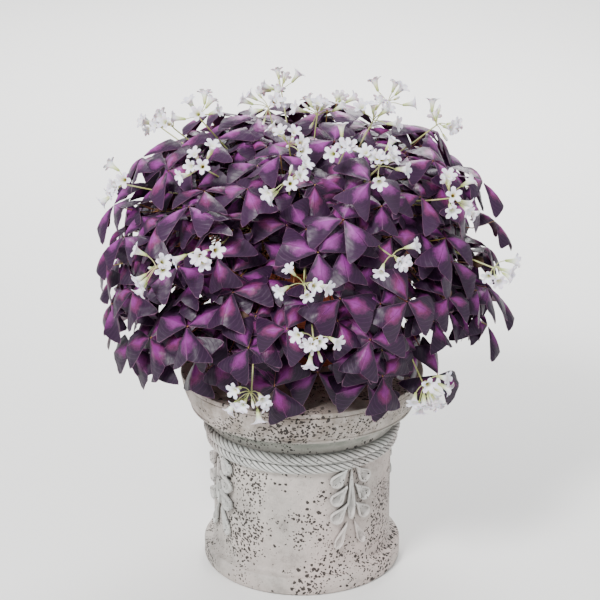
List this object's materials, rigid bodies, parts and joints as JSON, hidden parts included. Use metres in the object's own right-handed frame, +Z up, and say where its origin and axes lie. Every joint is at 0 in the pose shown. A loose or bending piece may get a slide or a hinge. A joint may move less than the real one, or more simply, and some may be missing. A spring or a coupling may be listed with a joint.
{
  "type": "potted purple shamrock on a stone pedestal",
  "caption": "Purple shamrock: a dome of dark three-leaflet leaves with pale funnel flowers, in a clay pot that stands on a round carved stone pedestal",
  "frame": {"origin": "middle of the pedestal's resting face", "axes": "+Z up, -Y to the front where the pot shows between the leaves, +X to the viewer's right"},
  "size_m": [0.5881, 0.5873, 0.679],
  "materials": {
    "stone": "pitted cast stone",
    "terracotta": "unglazed",
    "soil": "damp potting soil",
    "leaf": "satin leaf",
    "flower": "soft petal"
  },
  "bodies": {
    "root": {"stone_pedestal": "stone", "terracotta_pot": "terracotta", "soil": "soil", "leaf_clump_01": "leaf", "leaf_clump_02": "leaf", "leaf_clump_03": "leaf", "leaf_clump_04": "leaf", "leaf_clump_05": "leaf", "leaf_clump_06": "leaf", "leaf_clump_07": "leaf", "leaf_clump_08": "leaf", "leaf_clump_09": "leaf", "leaf_clump_10": "leaf", "leaf_clump_11": "leaf", "leaf_clump_12": "leaf", "leaf_clump_13": "leaf", "leaf_clump_14": "leaf", "leaf_clump_15": "leaf", "leaf_clump_16": "leaf", "flower_umbel_01": "flower", "flower_umbel_02": "flower", "flower_umbel_03": "flower", "flower_umbel_04": "flower", "flower_umbel_05": "flower", "flower_umbel_06": "flower", "flower_umbel_07": "flower", "flower_umbel_08": "flower", "flower_umbel_09": "flower", "flower_umbel_10": "flower", "flower_umbel_11": "flower", "flower_umbel_12": "flower", "flower_umbel_13": "flower", "flower_umbel_14": "flower", "flower_umbel_15": "flower", "flower_umbel_16": "flower", "flower_umbel_17": "flower", "flower_umbel_18": "flower", "flower_umbel_19": "flower", "flower_umbel_20": "flower", "flower_umbel_21": "flower", "flower_umbel_22": "flower", "flower_umbel_23": "flower", "flower_umbel_24": "flower", "flower_umbel_25": "flower", "flower_umbel_26": "flower", "flower_umbel_27": "flower"}
  },
  "joints": []
}
